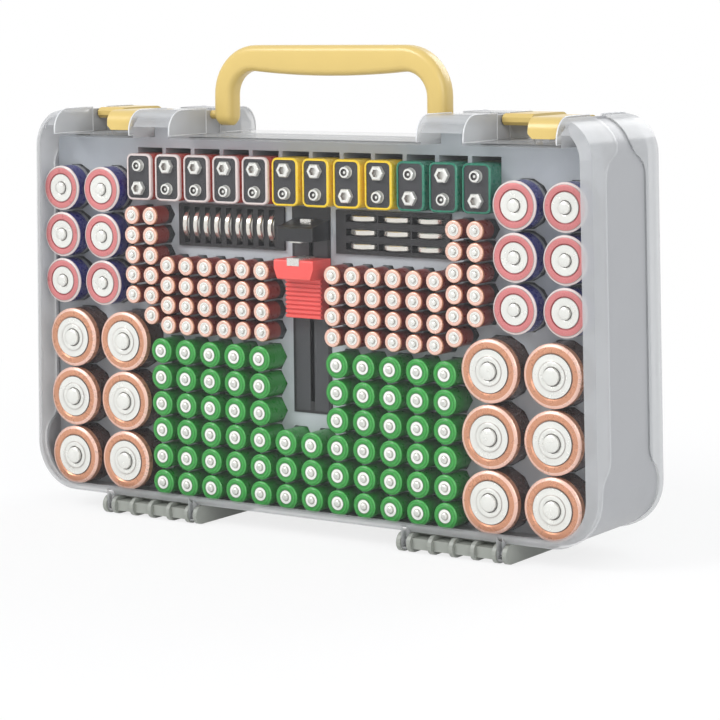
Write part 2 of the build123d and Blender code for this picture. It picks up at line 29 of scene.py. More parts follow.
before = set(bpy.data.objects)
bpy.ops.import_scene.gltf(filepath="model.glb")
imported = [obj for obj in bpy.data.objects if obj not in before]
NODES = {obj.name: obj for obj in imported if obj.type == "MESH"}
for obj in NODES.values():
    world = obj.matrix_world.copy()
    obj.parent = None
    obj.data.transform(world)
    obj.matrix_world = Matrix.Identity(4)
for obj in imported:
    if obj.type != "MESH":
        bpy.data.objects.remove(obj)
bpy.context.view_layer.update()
MM = 0.001


# ---------------------------------------------------------------- materials

COAT_ROUGHNESS = 0.12
CLOUD_SCALE = 38.0
RELIEF_DEPTH = 0.2 * MM
LID_WALL_ALPHA = 0.62
LID_FACE_ALPHA = 0.02


def linear(rgb):
    """An 8-bit display colour as linear light."""
    out = []
    for channel in rgb:
        c = channel / 255
        out.append(c / 12.92 if c <= 0.04045 else ((c + 0.055) / 1.055) ** 2.4)
    return (*out, 1.0)


def material(name, rgb, rough=0.4, metal=0.0, grain=900.0, vary=0.05, rough_vary=0.08,
             bump=0.0, coat=0.0):
    """A plastic or metal whose colour, roughness and surface vary a little over the piece."""
    mat = bpy.data.materials.new(name)
    mat.use_nodes = True
    tree = mat.node_tree
    nodes, links = tree.nodes, tree.links
    shader = nodes["Principled BSDF"]
    shader.inputs["Metallic"].default_value = metal
    shader.inputs["Coat Weight"].default_value = coat
    shader.inputs["Coat Roughness"].default_value = COAT_ROUGHNESS
    place = nodes.new("ShaderNodeTexCoord")
    noise = nodes.new("ShaderNodeTexNoise")
    noise.inputs["Scale"].default_value = grain
    noise.inputs["Detail"].default_value = 4.0
    links.new(place.outputs["Object"], noise.inputs["Vector"])
    cloud = nodes.new("ShaderNodeTexNoise")
    cloud.inputs["Scale"].default_value = CLOUD_SCALE
    cloud.inputs["Detail"].default_value = 2.0
    links.new(place.outputs["Object"], cloud.inputs["Vector"])
    base = linear(rgb)
    ramp = nodes.new("ShaderNodeValToRGB")
    ramp.color_ramp.elements[0].position = 0.3
    ramp.color_ramp.elements[1].position = 0.7
    ramp.color_ramp.elements[0].color = (*[c * (1 - vary) for c in base[:3]], 1)
    ramp.color_ramp.elements[1].color = (*[min(1, c * (1 + vary)) for c in base[:3]], 1)
    links.new(cloud.outputs["Fac"], ramp.inputs["Fac"])
    links.new(ramp.outputs["Color"], shader.inputs["Base Color"])
    spread = nodes.new("ShaderNodeMapRange")
    spread.inputs["From Min"].default_value = 0.3
    spread.inputs["From Max"].default_value = 0.7
    spread.inputs["To Min"].default_value = max(0.03, rough - rough_vary)
    spread.inputs["To Max"].default_value = min(1.0, rough + rough_vary)
    links.new(noise.outputs["Fac"], spread.inputs["Value"])
    links.new(spread.outputs["Result"], shader.inputs["Roughness"])
    if bump:
        relief = nodes.new("ShaderNodeBump")
        relief.inputs["Strength"].default_value = bump
        relief.inputs["Distance"].default_value = RELIEF_DEPTH
        links.new(noise.outputs["Fac"], relief.inputs["Height"])
        links.new(relief.outputs["Normal"], shader.inputs["Normal"])
    return mat


def clear_lid_material():
    """Clear panel on the lid's face, milkier where the wall turns away from the face."""
    mat = bpy.data.materials.new("lid_clear")
    mat.use_nodes = True
    nodes, links = mat.node_tree.nodes, mat.node_tree.links
    shader = nodes["Principled BSDF"]
    shader.inputs["Base Color"].default_value = linear((206, 207, 208))
    shader.inputs["IOR"].default_value = 1.45
    place = nodes.new("ShaderNodeTexCoord")
    split = nodes.new("ShaderNodeSeparateXYZ")
    links.new(place.outputs["Normal"], split.inputs["Vector"])
    facing = nodes.new("ShaderNodeMath")
    facing.operation = "ABSOLUTE"
    links.new(split.outputs["Y"], facing.inputs[0])
    milk = nodes.new("ShaderNodeMapRange")
    milk.interpolation_type = "SMOOTHSTEP"
    milk.inputs["From Min"].default_value = 0.60
    milk.inputs["From Max"].default_value = 0.995
    milk.inputs["To Min"].default_value = LID_WALL_ALPHA
    milk.inputs["To Max"].default_value = LID_FACE_ALPHA
    links.new(facing.outputs["Value"], milk.inputs["Value"])
    links.new(milk.outputs["Result"], shader.inputs["Alpha"])
    noise = nodes.new("ShaderNodeTexNoise")
    noise.inputs["Scale"].default_value = 120.0
    links.new(place.outputs["Object"], noise.inputs["Vector"])
    spread = nodes.new("ShaderNodeMapRange")
    spread.inputs["To Min"].default_value = 0.10
    spread.inputs["To Max"].default_value = 0.24
    links.new(noise.outputs["Fac"], spread.inputs["Value"])
    links.new(spread.outputs["Result"], shader.inputs["Roughness"])
    return mat


MAT = {
    "lid": clear_lid_material(),
    # Pale opaque colour of the painted highlight lines along the lids' notch edges.
    "lid_edge_highlight": material("lid_edge_highlight", (226, 227, 228), 0.25, vary=0.0),
    "frame": material("frame_plastic", (168, 169, 171), 0.34, grain=500, vary=0.01,
                      rough_vary=0.03),
    "tray": material("tray_plastic", (190, 195, 199), 0.38, grain=500, vary=0.015,
                     rough_vary=0.03),
    "yellow": material("yellow_plastic", (216, 188, 112), 0.34, grain=300, vary=0.015,
                       rough_vary=0.03, coat=0.15),
    # The feet's olive grey is their plastic, set darker than the frame partly as painted shade
    # from under the case.
    "foot": material("foot_plastic_and_painted_shade", (150, 153, 146), 0.42, grain=500, vary=0.02,
                     rough_vary=0.04, bump=0.03),
    "black": material("black_plastic", (30, 29, 31), 0.5, grain=1400, vary=0.1, bump=0.12),
    "head": material("head_plastic", (28, 28, 30), 0.34, grain=1400, vary=0.06, bump=0.05),
    "track": material("track_plastic", (62, 63, 66), 0.38, grain=1400, vary=0.05, bump=0.05),
    "track_edge": material("track_edge", (26, 26, 28), 0.42, grain=1400, vary=0.05),
    "slider": material("slider_plastic", (238, 88, 82), 0.36, grain=500, vary=0.02,
                       rough_vary=0.04, coat=0.1),
    "contact": material("contact_metal", (222, 220, 214), 0.28, metal=0.75, grain=400),
    "steel": material("pin_steel", (170, 170, 172), 0.3, metal=0.9, grain=400),
    "silver": material("cell_silver", (232, 232, 226), 0.24, metal=0.45, grain=150, vary=0.03,
                       rough_vary=0.05),
    "silver_dull": material("cell_silver_dull", (206, 206, 200), 0.36, metal=0.45, grain=150,
                            vary=0.04, rough_vary=0.05),
    "coin": material("coin_metal", (226, 222, 214), 0.2, metal=0.85, grain=150, vary=0.03,
                     rough_vary=0.05),
    "groove": material("cell_groove", (84, 80, 78), 0.5, metal=0.3, grain=300, vary=0.05),
    "ring_line": material("cell_ring_line", (150, 142, 136), 0.4, metal=0.3, grain=300,
                          vary=0.03),
    "copper": material("cell_copper", (206, 146, 114), 0.3, metal=0.4, grain=300, vary=0.03),
    "rose": material("cell_rose", (238, 196, 178), 0.3, metal=0.3, grain=300, vary=0.03),
    "brown": material("cell_brown", (70, 38, 30), 0.3, metal=0.1, grain=400, vary=0.06,
                      coat=0.15),
    "russet": material("cell_russet", (126, 42, 34), 0.32, metal=0.1, grain=400, vary=0.06,
                       coat=0.12),
    "cell_black": material("cell_black", (24, 23, 25), 0.34, grain=400, vary=0.08, coat=0.15),
    "green": material("cell_green", (22, 128, 36), 0.32, grain=400, vary=0.04, coat=0.2),
    "green_edge": material("cell_green_edge", (62, 168, 72), 0.3, grain=400, vary=0.04),
    "green_ring": material("cell_green_ring", (30, 134, 44), 0.34, grain=400, vary=0.04),
    "blue": material("cell_blue", (38, 34, 118), 0.3, metal=0.1, grain=400, vary=0.06,
                     coat=0.2),
    "red_ring": material("cell_red_ring", (206, 122, 122), 0.34, metal=0.15, grain=300,
                         vary=0.08),
    "red_line": material("cell_red_line", (140, 44, 48), 0.36, metal=0.15, grain=300,
                         vary=0.05),
    "grey_band": material("cell_grey_band", (148, 148, 150), 0.32, metal=0.4, grain=400),
    "white": material("cell_white", (240, 240, 234), 0.34, grain=300, vary=0.02),
    "pale": material("cell_pale", (222, 208, 204), 0.3, grain=300, vary=0.02),
    "nine_top": material("nine_volt_top", (50, 50, 53), 0.6, grain=1800, vary=0.2, bump=0.4),
    "nine_red": material("nine_volt_red", (200, 66, 48), 0.3, metal=0.2, grain=400, vary=0.08,
                         coat=0.25),
    "nine_dark": material("nine_volt_dark", (46, 42, 46), 0.32, grain=400, vary=0.08, coat=0.2),
    "nine_yellow": material("nine_volt_yellow", (242, 204, 34), 0.3, grain=400, vary=0.04,
                            coat=0.25),
    "nine_teal": material("nine_volt_teal", (28, 122, 96), 0.3, metal=0.1, grain=400,
                          vary=0.05, coat=0.25),
    "nine_olive": material("nine_volt_olive", (140, 150, 70), 0.32, grain=400, vary=0.05,
                           coat=0.2),
    "label_yellow": material("label_yellow", (226, 200, 96), 0.36, grain=400, vary=0.03,
                             coat=0.15),
    "label_grey": material("label_grey", (214, 210, 206), 0.38, grain=400, vary=0.02),
    "label_red": material("label_red", (196, 74, 84), 0.34, grain=400, vary=0.04, coat=0.15),
    "label_pink": material("label_pink", (246, 206, 198), 0.36, grain=400, vary=0.02),
    "label_blue": material("label_blue", (40, 132, 226), 0.34, grain=400, vary=0.04, coat=0.15),
    "label_purple": material("label_purple", (136, 120, 176), 0.34, grain=400, vary=0.05,
                             coat=0.2),
    "label_plum": material("label_plum", (60, 46, 86), 0.32, grain=400, vary=0.06, coat=0.25),
    "label_gold": material("label_gold", (148, 122, 66), 0.3, metal=0.35, grain=400, vary=0.05),
}

NODE_LOOK = {
    "front_lid": "lid", "back_lid": "lid", "centre_frame": "frame", "front_tray": "tray",
    "back_tray": "tray", "handle": "yellow", "hinge_foot_left": "foot",
    "hinge_foot_right": "foot", "coin_rack_left": "black", "coin_rack_right": "black",
    "tester_base": "track_edge", "tester_head": "head", "tester_slider": "slider",
    "fixed_contact": "contact", "slider_contact": "contact", "handle_pin_left": "yellow",
    "handle_pin_right": "yellow",
}
for name, node in NODES.items():
    look = NODE_LOOK.get(name)
    if look is None:
        look = "yellow" if name.startswith("latch_front") or name.startswith("latch_back") \
            else "steel"
    node.data.materials.clear()
    node.data.materials.append(MAT[look])


# ---------------------------------------------------------------- mesh helpers

class Mesh:
    """Vertices and faces in millimetres, each face with the name of its material."""

    def __init__(self):
        self.points = []
        self.faces = []
        self.looks = []

    def add(self, points, faces, looks):
        start = len(self.points)
        self.points.extend(points)
        self.faces.extend([[start + index for index in face] for face in faces])
        self.looks.extend(looks)

    def place(self, other, matrix):
        """A copy of another mesh, moved by a matrix."""
        moved = [tuple(matrix @ Vector(point)) for point in other.points]
        self.add(moved, other.faces, other.looks)

    def build(self, name, body="case", sharp_deg=40.0):
        used = sorted(set(self.looks))
        mesh = bpy.data.meshes.new(name)
        scaled = [(x * MM, y * MM, z * MM) for x, y, z in self.points]
        mesh.from_pydata(scaled, [], self.faces)
        for look in used:
            mesh.materials.append(MAT[look])
        index = {look: number for number, look in enumerate(used)}
        mesh.polygons.foreach_set("material_index", [index[look] for look in self.looks])
        mesh.polygons.foreach_set("use_smooth", [True] * len(self.faces))
        mesh.set_sharp_from_angle(angle=math.radians(sharp_deg))
        mesh.update()
        piece = bpy.data.objects.new(name, mesh)
        bpy.context.scene.collection.objects.link(piece)
        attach(piece, body)
        return piece


def lathe(profile, segments):
    """Turns a profile of (distance along the axis, radius, look of the step after it)
    about the Y axis. Distance grows with Y."""
    mesh = Mesh()
    rings = []
    for distance, radius, _ in profile:
        if radius < 1e-6:
            rings.append([len(mesh.points)])
            mesh.points.append((0.0, distance, 0.0))
            continue
        ring = []
        for step in range(segments):
            angle = 2 * math.pi * step / segments
            ring.append(len(mesh.points))
            mesh.points.append((radius * math.cos(angle), distance, radius * math.sin(angle)))
        rings.append(ring)
    for number in range(len(profile) - 1):
        look = profile[number][2]
        one, two = rings[number], rings[number + 1]
        for step in range(segments):
            after = (step + 1) % segments
            if len(one) == 1:
                face = [one[0], two[step], two[after]]
            elif len(two) == 1:
                face = [one[step], two[0], one[after]]
            else:
                face = [one[step], two[step], two[after], one[after]]
            mesh.faces.append(face)
            mesh.looks.append(look)
    return mesh


def rounded_rectangle(half_x, half_z, radius, steps=5):
    """Corner-rounded rectangle in X and Z, as a loop of points."""
    loop = []
    for corner, (sx, sz) in enumerate(((1, 1), (-1, 1), (-1, -1), (1, -1))):
        cx = sx * (half_x - radius)
        cz = sz * (half_z - radius)
        for step in range(steps + 1):
            angle = math.pi / 2 * (corner + step / steps)
            loop.append((cx + radius * math.cos(angle), cz + radius * math.sin(angle)))
    return loop


def loft(loops, looks, close_first=None, close_last=None):
    """Skins a row of loops, each a (y, loop of x and z) pair with the same point count."""
    mesh = Mesh()
    count = len(loops[0][1])
    for y, loop in loops:
        mesh.points.extend([(x, y, z) for x, z in loop])
    for number in range(len(loops) - 1):
        for step in range(count):
            after = (step + 1) % count
            a, b = number * count, (number + 1) * count
            mesh.faces.append([a + step, b + step, b + after, a + after])
            mesh.looks.append(looks[number])
    if close_first:
        mesh.faces.append(list(range(count)))
        mesh.looks.append(close_first)
    if close_last:
        last = (len(loops) - 1) * count
        mesh.faces.append([last + index for index in reversed(range(count))])
        mesh.looks.append(close_last)
    return mesh


# ---------------------------------------------------------------- the upright cells

def big_cell_d(radius=16.9, length=61.5):
    return lathe([
        (0.0, 0.0, "silver"), (0.0, 3.7, "silver"), (0.5, 4.5, "silver_dull"),
        (1.6, 4.7, "groove"), (1.9, 5.2, "silver"), (1.5, 6.2, "silver"),
        (1.7, 7.6, "ring_line"), (2.0, 8.0, "silver"), (1.9, 11.4, "groove"),
        (2.3, 11.8, "copper"), (1.7, 12.6, "copper"), (1.9, 15.2, "rose"), (2.3, 16.3, "rose"),
        (2.9, radius, "copper"), (6.2, radius, "brown"), (length - 1.0, radius, "cell_black"),
        (length, radius - 1.0, "silver_dull"), (length, 0.0, "silver_dull")], 44)


def big_cell_c(radius=12.9, length=50.0):
    return lathe([
        (0.0, 0.0, "silver"), (0.0, 2.5, "silver"), (0.5, 3.2, "silver_dull"),
        (1.5, 3.4, "groove"), (1.8, 3.8, "silver"), (1.5, 4.6, "silver"), (1.6, 7.8, "ring_line"),
        (1.9, 8.1, "red_line"), (1.6, 8.7, "red_ring"), (1.5, 11.7, "ring_line"),
        (1.7, 12.0, "pale"), (2.3, radius, "pale"), (3.0, radius, "blue"),
        (11.5, radius, "grey_band"), (14.0, radius, "cell_black"),
        (length - 0.8, radius, "cell_black"), (length, radius - 0.8, "silver_dull"),
        (length, 0.0, "silver_dull")], 40)


def pen_cell_aa(radius=7.1, length=50.5):
    return lathe([
        (0.0, 0.0, "silver_dull"), (0.0, 1.2, "silver"), (0.35, 1.75, "silver_dull"),
        (1.1, 1.9, "ring_line"), (1.3, 2.2, "white"), (1.2, 3.7, "groove"),
        (1.2, 3.95, "green_ring"), (1.1, 5.2, "green_edge"), (1.15, 5.7, "green_ring"),
        (1.4, 6.5, "green_edge"), (2.1, radius, "green"), (length - 0.6, radius, "green"),
        (length, radius - 0.7, "silver_dull"), (length, 0.0, "silver_dull")], 24)


def pen_cell_aaa(radius=5.2, length=44.5):
    return lathe([
        (0.0, 0.0, "silver"), (0.0, 0.9, "silver"), (0.3, 1.35, "silver_dull"),
        (1.0, 1.5, "ring_line"), (1.15, 1.7, "silver"), (1.0, 2.7, "white"),
        (1.05, 3.1, "ring_line"), (1.15, 3.3, "rose"), (0.9, 4.3, "rose"),
        (1.15, 4.9, "copper"), (1.7, radius, "copper"), (2.3, radius, "russet"),
        (12.6, radius, "cell_black"), (length - 0.5, radius, "cell_black"),
        (length, radius - 0.5, "silver_dull"), (length, 0.0, "silver_dull")], 20)


def at(x, y, z, turn=None):
    matrix = Matrix.Translation((x, y, z))
    return matrix @ turn if turn is not None else matrix


def upright(name, cell, places, tip_y):
    mesh = Mesh()
    for number, (x, z) in enumerate(places):
        roll = Matrix.Rotation(math.radians(ROLL_STEP_DEG * number), 4, "Y")
        mesh.place(cell, at(x, tip_y, z, roll))
    return mesh.build(name)


def both_sides(xs):
    return [side * x for side in (-1, 1) for x in xs]


def rows(top, pitch, count):
    return [top - pitch * step for step in range(count)]


def grid(xs, zs):
    return [(x, z) for x in xs for z in zs]


ROLL_STEP_DEG = 37.0
D_TIP_Y = -37.7
C_TIP_Y = -36.5
PEN_TIP_Y = -37.0
D_COLUMNS = [121.8, 159.5]
D_ROWS = rows(100.4, 34.6, 3)
C_COLUMNS = [136.9, 166.8]
C_ROWS = rows(187.1, 26.94, 3)
AA_COLUMNS = [25.9 + 17.15 * step for step in range(5)]
AA_PITCH_Z = 15.1
AA_MIDDLE_COLUMN = [8.6]
AAA_COLUMNS = [23.6 + 13.06 * step for step in range(6)]
AAA_TOWER_TOP_Z = 173.2
AAA_TOWER_PITCH_Z = 11.33

upright("cells_d", big_cell_d(), grid(both_sides(D_COLUMNS), D_ROWS), D_TIP_Y)
upright("cells_c", big_cell_c(), grid(both_sides(C_COLUMNS), C_ROWS), C_TIP_Y)
AA_PLACES = grid(both_sides(AA_COLUMNS), rows(96.7, AA_PITCH_Z, 6))
AA_PLACES += grid(both_sides(AA_MIDDLE_COLUMN), rows(51.4, AA_PITCH_Z, 3))
upright("cells_aa", pen_cell_aa(), AA_PLACES, PEN_TIP_Y)
AAA_PLACES = grid(both_sides(AAA_COLUMNS), rows(145.6, 11.32, 4))
for column, count in ((100.9, 6), (113.9, 5)):
    AAA_PLACES += grid(both_sides([column]), rows(AAA_TOWER_TOP_Z, AAA_TOWER_PITCH_Z, count))
upright("cells_aaa", pen_cell_aaa(), AAA_PLACES, PEN_TIP_Y)


# ---------------------------------------------------------------- nine-volt cells

NINE_HALF_X = 8.75
NINE_HALF_Z = 13.25
NINE_TOP_Y = -31.0
NINE_BOTTOM_Y = 14.4
NINE_PITCH_X = 20.38
NINE_ROW_Z = 194.8
SNAP_OFFSET_Z = 6.4
SNAP_SINK = 0.6
HEXAGON_SNAP_HEIGHT = 3.0
ROUND_SNAP_HEIGHT = 2.9
HEXAGON_OUTER = 4.3
HEXAGON_INNER = 2.3


def hexagon_snap(height):
    """Open socket snap: a hexagonal collar with a hollow middle, its inner wall painted a darker
    grey as shade.
    """
    def hexagon(radius):
        return [(radius * math.cos(math.pi / 3 * k), radius * math.sin(math.pi / 3 * k))
                for k in range(6)]
    outer = hexagon(HEXAGON_OUTER)
    inner = hexagon(HEXAGON_INNER)
    lip = [(x * 0.86, z * 0.86) for x, z in outer]
    # The ring-line grey on the hollow's inner wall is painted shade.
    return loft([(0.0, outer), (-height + 0.6, outer), (-height, lip), (-height, inner),
                 (-0.9, inner)], ["silver", "silver", "silver", "ring_line"],
                close_last="silver")


def round_snap(height):
    """Stud snap: a collar with a bead at its top, and a hollow whose wall and floor are painted
    dark grey as shade round a silver centre dot.
    """
    def ring(radius):
        return [(radius * math.cos(2 * math.pi * k / 20), radius * math.sin(2 * math.pi * k / 20))
                for k in range(20)]
    # The groove-coloured wall and floor of the hollow are painted shade.
    return loft([(0.0, ring(3.5)), (-0.5, ring(3.1)), (-height + 0.7, ring(2.9)),
                 (-height + 0.3, ring(3.1)), (-height, ring(2.8)), (-height, ring(2.0)),
                 (-height + 1.0, ring(1.9)), (-height + 1.0, ring(0.9)),
                 (-height + 0.5, ring(0.7))],
                ["silver_dull", "silver", "silver", "silver", "silver", "groove", "groove",
                 "silver"], close_last="silver")


def nine_volt(border, body, band, hexagon_up):
    """One cell: dark top plate in a coloured rim, a label wrap, and two snaps."""
    outer = rounded_rectangle(NINE_HALF_X, NINE_HALF_Z, 3.6)
    shoulder = rounded_rectangle(NINE_HALF_X - 0.5, NINE_HALF_Z - 0.5, 3.1)
    inner = rounded_rectangle(NINE_HALF_X - 1.2, NINE_HALF_Z - 1.2, 2.5)
    mesh = loft([(NINE_TOP_Y + 0.6, inner), (NINE_TOP_Y, inner), (NINE_TOP_Y, shoulder),
                 (NINE_TOP_Y + 0.5, outer), (NINE_TOP_Y + 2.2, outer),
                 (NINE_TOP_Y + 15.0, outer), (NINE_BOTTOM_Y, outer)],
                [border, border, border, border, body, band],
                close_first="nine_top", close_last="silver_dull")
    hexagon_z = SNAP_OFFSET_Z if hexagon_up else -SNAP_OFFSET_Z
    mesh.place(hexagon_snap(HEXAGON_SNAP_HEIGHT), at(0, NINE_TOP_Y + SNAP_SINK, hexagon_z))
    mesh.place(round_snap(ROUND_SNAP_HEIGHT), at(0, NINE_TOP_Y + SNAP_SINK, -hexagon_z))
    return mesh


HEXAGON_UP = (False, True, True, True, True, True, True, False, True, False, True, False)
NINE_GROUPS = {
    "cells_nine_red": (range(0, 5), ("pale", "nine_red", "nine_dark")),
    "cells_nine_yellow": (range(5, 9), ("nine_yellow", "nine_yellow", "nine_dark")),
    "cells_nine_teal": (range(9, 12), ("nine_teal", "nine_teal", "nine_olive")),
}
for name, (numbers, looks) in NINE_GROUPS.items():
    group = Mesh()
    for number in numbers:
        cell = nine_volt(*looks, HEXAGON_UP[number])
        group.place(cell, at(NINE_PITCH_X * (number - 5.5), 0, NINE_ROW_Z))
    group.build(name)


# ---------------------------------------------------------------- coin cells

COIN_RADIUS = 10.0
COIN_HALF = 1.6


def coin():
    """A coin cell along Y: a wide can, a dark seal and a smaller cap."""
    h = COIN_HALF
    return lathe([(-h, 0.0, "silver_dull"), (-h, 8.4, "silver_dull"), (-h + 0.3, 8.7, "groove"),
                  (-h + 0.5, 9.1, "coin"), (-h + 0.3, 9.5, "coin"),
                  (-h + 0.6, COIN_RADIUS, "coin"), (h - 0.4, COIN_RADIUS, "coin"),
                  (h, COIN_RADIUS - 0.4, "silver_dull"), (h, 0.0, "silver_dull")], 48)


COIN_Y = -14.4
COIN_Z = 168.0
UPRIGHT_COIN_X = -55.1
UPRIGHT_COIN_PITCH = 7.4
LYING_COIN_X = 55.5
LYING_COIN_PITCH_X = 21.4
LYING_COIN_PITCH_Z = 7.6
upright_coins = Mesh()
for step in range(9):
    tilt = Matrix.Rotation(math.radians(90), 4, "Z")
    coin_x = UPRIGHT_COIN_X + UPRIGHT_COIN_PITCH * (step - 4)
    upright_coins.place(coin(), at(coin_x, COIN_Y, COIN_Z, tilt))
upright_coins.build("coin_cells_left")
flat_coins = Mesh()
for column in (-1, 0, 1):
    for row in (-1, 0, 1):
        tilt = Matrix.Rotation(math.radians(90), 4, "X")
        coin_x = LYING_COIN_X + LYING_COIN_PITCH_X * column
        flat_coins.place(coin(), at(coin_x, COIN_Y, COIN_Z + LYING_COIN_PITCH_Z * row, tilt))
flat_coins.build("coin_cells_right")


# ---------------------------------------------------------------- the lying cells

def lying_profile(length, radius, bands, nub):
    """Profile from the nub's end to the base. bands: (share of the length, look)."""
    points = [(0.0, 0.0, "silver"), (0.0, nub * 0.85, "silver"), (0.2, nub, "silver"),
              (1.1, nub, "silver_dull"), (1.2, radius - 0.8, bands[0][1]),
              (1.8, radius, bands[0][1])]
    spot = 1.8
    for number, (share, look) in enumerate(bands):
        points[-1] = (points[-1][0], points[-1][1], look)
        spot = 1.8 + (length - 2.4) * share
        follow = bands[number + 1][1] if number + 1 < len(bands) else look
        points.append((spot, radius, follow))
    points.append((length, radius - 0.6, "silver_dull"))
    points.append((length, 0.0, "silver_dull"))
    return points


PLUM_BANDS = [(0.1, "grey_band"), (0.8, "label_plum"), (1.0, "label_purple")]
LARGE_BANDS = [(0.05, "label_yellow"), (0.09, "label_pink"), (0.11, "label_red"),
               (0.17, "label_pink"), (0.19, "label_red"), (0.25, "label_pink"),
               (0.27, "label_red"), (0.31, "label_pink"), (0.9, "label_grey"),
               (1.0, "label_yellow")]
LYING = {
    "cells_large": (both_sides([131.6]), rows(182.0, 20.8, 3), 64.5, 9.15, 20.8, LARGE_BANDS, 4.0),
    "cells_stub": (both_sides([77.2]), rows(174.8, 17.6, 3), 26.8, 7.7, 23.6,
                   [(0.55, "white"), (0.88, "label_blue"), (1.0, "white")], 3.2),
    "cells_camera": (both_sides([38.2]), rows(170.6, 19.4, 6), 34.0, 8.25, 22.4,
                     [(0.22, "cell_black"), (0.32, "silver_dull"), (0.76, "cell_black"),
                      (1.0, "grey_band")], 3.4),
    "cells_short": ([0.0], rows(172.5, 14.58, 10), 29.0, 5.9, 25.2,
                    [(0.08, "silver_dull"), (0.9, "label_purple"), (1.0, "silver_dull")], 2.0),
    "cells_tiny": ([-62.4, -31.2, 0.0, 31.2, 62.4], [189.4], 28.0, 5.0, 25.9,
                   [(0.12, "green"), (0.66, "label_grey"), (0.97, "label_gold"),
                    (1.0, "green")], 1.8),
    "cells_aa_lying": (both_sides([138.7]), rows(121.9, 15.93, 6), 50.0, 7.0, 24.9,
                       [(1.0, "green_edge")], 2.7),
    "cells_slim": (both_sides([84.4]), rows(122.5, 9.8, 7), 42.0, 4.05, 26.6,
                   [(0.4, "label_gold"), (0.82, "label_grey"), (1.0, "green")], 1.6),
    "cells_aaa_lying": (both_sides([37.2, 83.8]), rows(51.8, 11.5, 2), 44.0, 5.05, 25.6,
                        PLUM_BANDS, 1.9),
    "cells_aaa_low": ([46.7 * (step - 2.5) for step in range(6)], [27.8], 44.0, 5.05, 25.6,
                      PLUM_BANDS, 1.9),
}
for name, (xs, zs, length, radius, floor_y, bands, nub) in LYING.items():
    group = Mesh()
    cell = lathe(lying_profile(length, radius, bands, nub), 28)
    for x, z in grid(xs, zs):
        side = -1 if x < 0 else 1
        turn = Matrix.Rotation(math.radians(-90 * side), 4, "Z")
        group.place(cell, at(x - side * length / 2, floor_y + radius + 0.05, z, turn))
    group.build(name)


# ---------------------------------------------------------------- handle

HANDLE_HALF = 77.5
HANDLE_LEG = 12.5
HANDLE_HALF_DEPTH = 6.0
HANDLE_TOP_Z = 269.0
HANDLE_UNDER_Z = 254.5
HANDLE_BELLY = 2.5
HANDLE_OUTER_RADIUS = 28.0
HANDLE_INNER_RADIUS = 14.0
HANDLE_ROUND = 3.8
HANDLE_TUCK = 2.6
PIVOT_Z = 229.5


def half_handle():
    """Sections of the right half, from the leg's end to the middle of the grip: outer
    point and inner point in X and Z, and half the depth."""
    outer_x, inner_x = HANDLE_HALF, HANDLE_HALF - HANDLE_LEG
    sections = []
    for degrees in (82, 68, 54, 40, 26, 12, 0):
        angle = math.radians(degrees)
        z = PIVOT_Z - HANDLE_HALF_DEPTH * math.sin(angle)
        tuck = HANDLE_TUCK * (1 - math.cos(angle))
        sections.append(((outer_x - tuck, z), (inner_x + tuck, z),
                         HANDLE_HALF_DEPTH * math.cos(angle)))
    outer_c = (outer_x - HANDLE_OUTER_RADIUS, HANDLE_TOP_Z - HANDLE_OUTER_RADIUS)
    inner_c = (inner_x - HANDLE_INNER_RADIUS, HANDLE_UNDER_Z - HANDLE_INNER_RADIUS)
    for step in range(13):
        angle = math.radians(7.5 * step)
        sections.append(((outer_c[0] + HANDLE_OUTER_RADIUS * math.cos(angle),
                          outer_c[1] + HANDLE_OUTER_RADIUS * math.sin(angle)),
                         (inner_c[0] + HANDLE_INNER_RADIUS * math.cos(angle),
                          inner_c[1] + HANDLE_INNER_RADIUS * math.sin(angle)),
                         HANDLE_HALF_DEPTH))
    for step in range(1, 11):
        left = 1 - step / 10
        belly = HANDLE_BELLY * (1 - left * left)
        sections.append(((outer_c[0] * left, HANDLE_TOP_Z),
                         (inner_c[0] * left, HANDLE_UNDER_Z - belly), HANDLE_HALF_DEPTH))
    return sections


def smooth_handle():
    half = half_handle()
    mirrored = [((-o[0], o[1]), (-i[0], i[1]), d) for o, i, d in reversed(half[:-1])]
    mesh = Mesh()
    loops = []
    for outer, inner, depth in half + mirrored:
        middle = ((outer[0] + inner[0]) / 2, (outer[1] + inner[1]) / 2)
        across = (outer[0] - inner[0], outer[1] - inner[1])
        width = math.hypot(*across)
        along = (across[0] / width, across[1] / width)
        round_off = min(HANDLE_ROUND, 0.92 * depth)
        loop = []
        for a, y in rounded_rectangle(width / 2, depth, round_off):
            loop.append(len(mesh.points))
            mesh.points.append((middle[0] + along[0] * a, y, middle[1] + along[1] * a))
        loops.append(loop)
    count = len(loops[0])
    for one, two in zip(loops, loops[1:]):
        for step in range(count):
            after = (step + 1) % count
            mesh.faces.append([one[step], one[after], two[after], two[step]])
            mesh.looks.append("yellow")
    for cap in (list(reversed(loops[0])), loops[-1]):
        mesh.faces.append(cap)
        mesh.looks.append("yellow")
    return mesh


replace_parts(smooth_handle().build("handle_smooth", "handle", sharp_deg=60.0), "handle")


# ---------------------------------------------------------------- painted highlight lines along the lids' notch edges

NOTCH_WALLS = (-165.5, -110.5, -82.0, 82.0, 110.5, 165.5)
NOTCH_FLOOR_Z = 219.0
LID_TOP_Z = 233.0
LID_FRONT_Y = -41.0
LID_RIM_Y = -6.5
TOP_EDGE_RADIUS = 12.0
EDGE_HIGHLIGHT_RADIUS = 0.4


def notch_wall_outline(x):
    """Loop round the end wall of a lid's notch, on the front lid."""
    points = [(x, LID_RIM_Y, NOTCH_FLOOR_Z), (x, LID_RIM_Y, LID_TOP_Z)]
    for step in range(9):
        angle = math.radians(90 + 90 * step / 8)
        points.append((x, LID_FRONT_Y + TOP_EDGE_RADIUS + TOP_EDGE_RADIUS * math.cos(angle),
                       LID_TOP_Z - TOP_EDGE_RADIUS + TOP_EDGE_RADIUS * math.sin(angle)))
    points.append((x, LID_FRONT_Y, NOTCH_FLOOR_Z))
    return points
